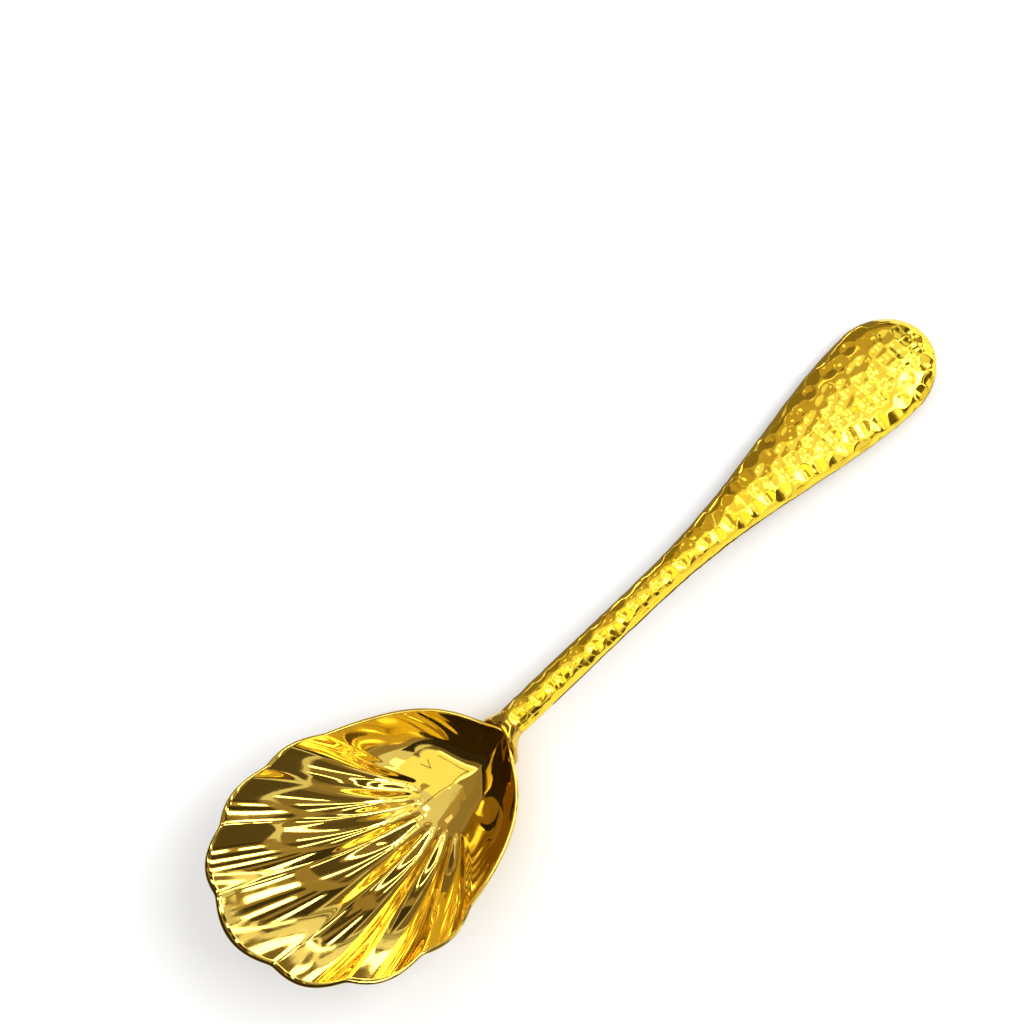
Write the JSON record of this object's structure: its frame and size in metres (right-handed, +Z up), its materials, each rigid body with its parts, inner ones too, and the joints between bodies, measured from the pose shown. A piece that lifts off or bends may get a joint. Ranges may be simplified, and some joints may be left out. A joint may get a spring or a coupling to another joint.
{
  "type": "serving spoon",
  "caption": "Gold-toned serving spoon with a deep fluted shell bowl, a scalloped rim and a straight hammered hollow handle that swells to a round end.",
  "frame": {"origin": "on the table, below the middle of the spoon's length and width as it lies at rest", "axes": "+X from the bowl to the end of the handle, +Z up from the table, +Y across the spoon"},
  "size_m": [0.2158, 0.0642, 0.0435],
  "materials": {
    "polished_gold": "mirror-polished steel with a thin gold-toned coating",
    "hammered_gold": "hand-hammered dents all over, polished, gold-toned coating over steel",
    "braze": "dressed braze metal",
    "resin": "cast filling resin, never seen"
  },
  "bodies": {
    "root": {"bowl": "polished_gold", "shank": "polished_gold", "handle_top_shell": "hammered_gold", "handle_bottom_shell": "hammered_gold", "seam_weld": "hammered_gold", "collar_braze": "braze", "bowl_braze": "braze", "handle_resin": "resin"}
  },
  "joints": []
}
